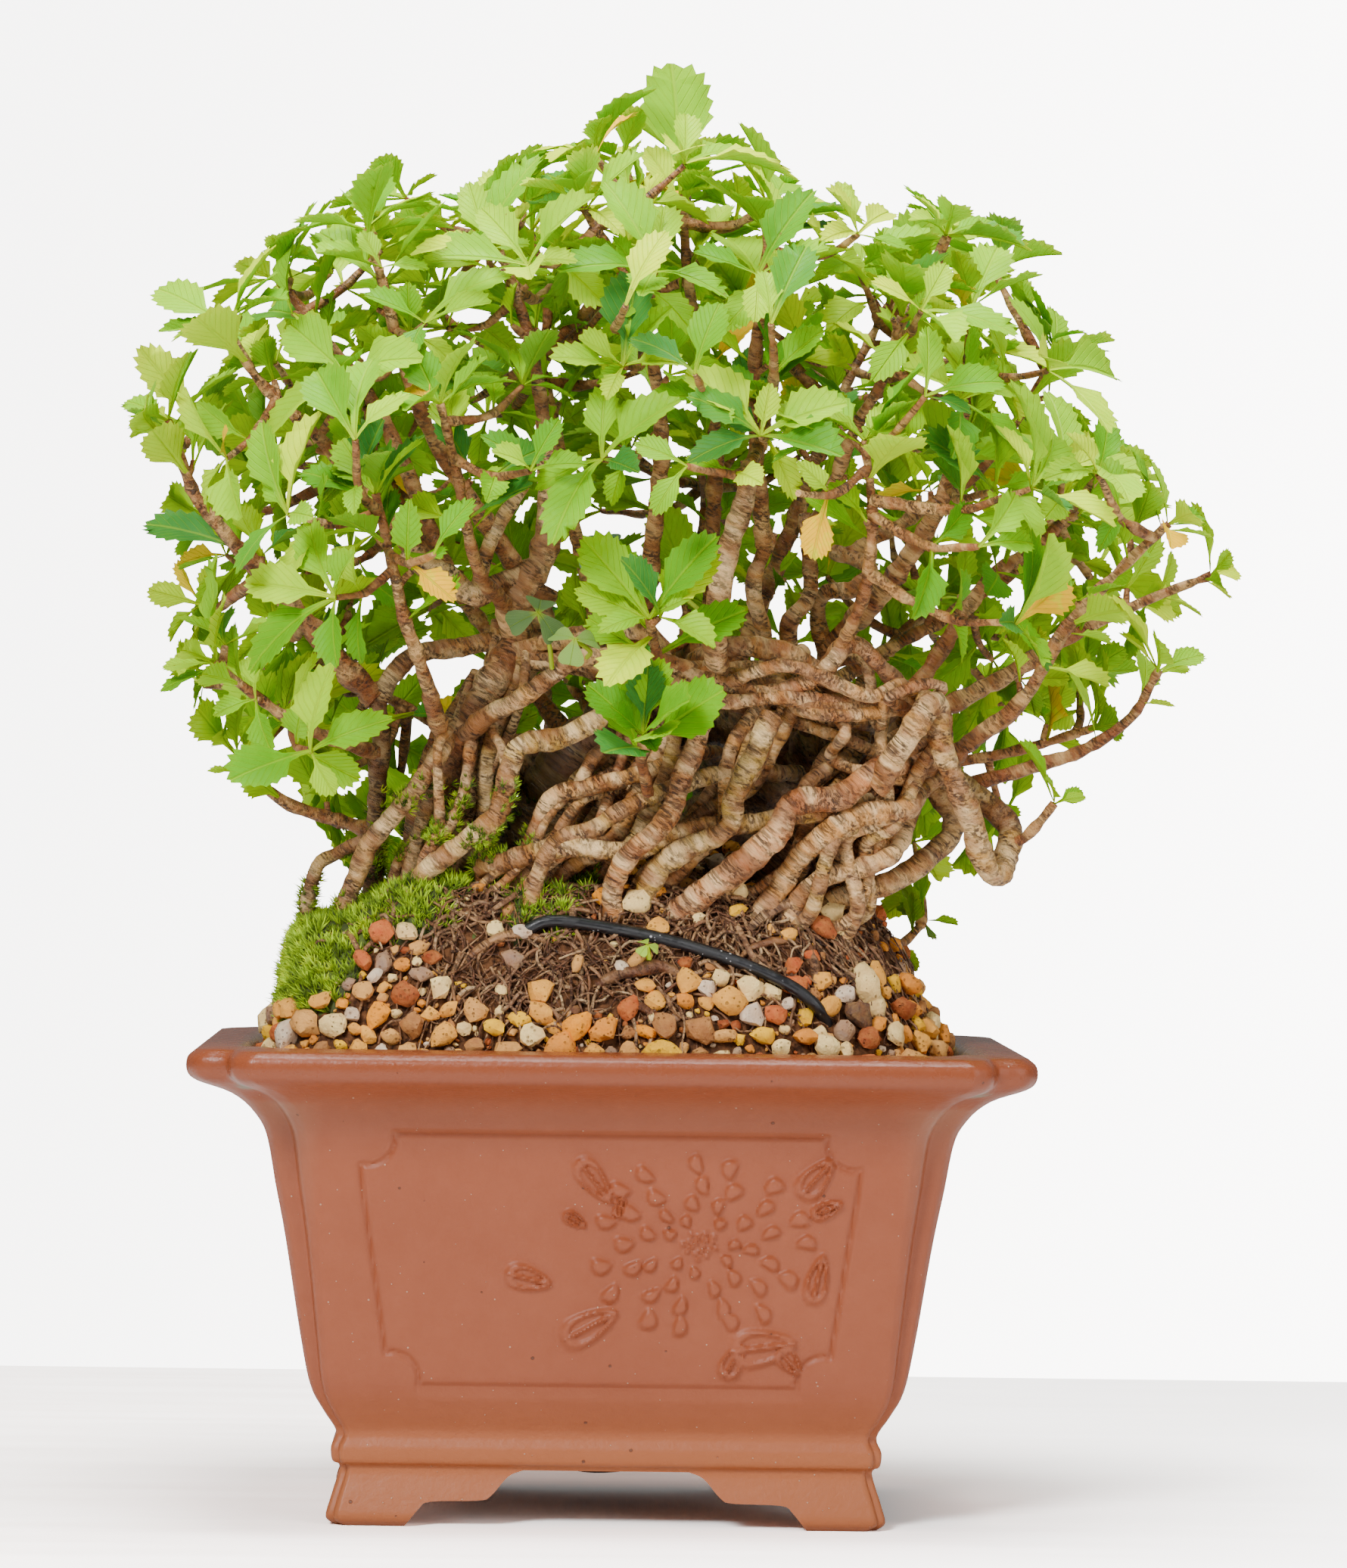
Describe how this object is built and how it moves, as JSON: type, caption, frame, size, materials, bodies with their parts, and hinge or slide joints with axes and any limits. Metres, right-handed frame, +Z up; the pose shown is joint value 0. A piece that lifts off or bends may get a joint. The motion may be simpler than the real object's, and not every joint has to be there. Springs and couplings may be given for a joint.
{
  "type": "flowering quince bonsai",
  "caption": "Small quince bonsai with a tangle of exposed roots and leafy shoots, on a mossy root ball in a rectangular unglazed clay pot on feet.",
  "frame": {"origin": "bottom centre of the box round the whole part, level with the undersides of the feet", "axes": "+Z up, -Y towards the viewer of the pot's front with the flower relief, +X to the right"},
  "size_m": [0.2314, 0.159, 0.2833],
  "materials": {
    "unglazed_clay": "unglazed red-brown stoneware, satin where rubbed, fine pale specks and dark pits",
    "black_mesh": "black plastic drain screen",
    "black_wire": "black plastic insulation with pale scuffs",
    "soil": "fibrous root ball with grit in ochre, tan, pink, red-brown and grey",
    "moss": "fine bright green moss",
    "bark": "tan bark with crosswise flecks and red-brown peeled patches",
    "leaf": "fresh green toothed leaves on reddish-brown shoots",
    "sorrel_leaf": "grey-green and light green leaflets"
  },
  "bodies": {
    "root": {"pot": "unglazed_clay", "drain_screen": "black_mesh", "tie_wire": "black_wire", "tie_wire_loop": "black_wire", "soil_mound": "soil", "moss_cushion": "moss", "root_tangle": "bark", "wood_sorrel_1": "sorrel_leaf", "wood_sorrel_2": "sorrel_leaf", "wood_sorrel_3": "sorrel_leaf", "seedling": "sorrel_leaf", "shoot_01": "leaf", "shoot_02": "leaf", "shoot_03": "leaf", "shoot_04": "leaf", "shoot_05": "leaf", "shoot_06": "leaf", "shoot_07": "leaf", "shoot_08": "leaf", "shoot_09": "leaf", "shoot_10": "leaf", "shoot_11": "leaf", "shoot_12": "leaf", "shoot_13": "leaf", "shoot_14": "leaf", "shoot_15": "leaf", "shoot_16": "leaf", "shoot_17": "leaf", "shoot_18": "leaf", "shoot_19": "leaf", "shoot_20": "leaf", "shoot_21": "leaf", "shoot_22": "leaf", "shoot_23": "leaf", "shoot_24": "leaf", "shoot_25": "leaf", "shoot_26": "leaf", "shoot_27": "leaf", "shoot_28": "leaf", "shoot_29": "leaf", "shoot_30": "leaf", "shoot_31": "leaf", "shoot_32": "leaf", "shoot_33": "leaf", "shoot_34": "leaf", "shoot_35": "leaf", "shoot_36": "leaf"}
  },
  "joints": []
}
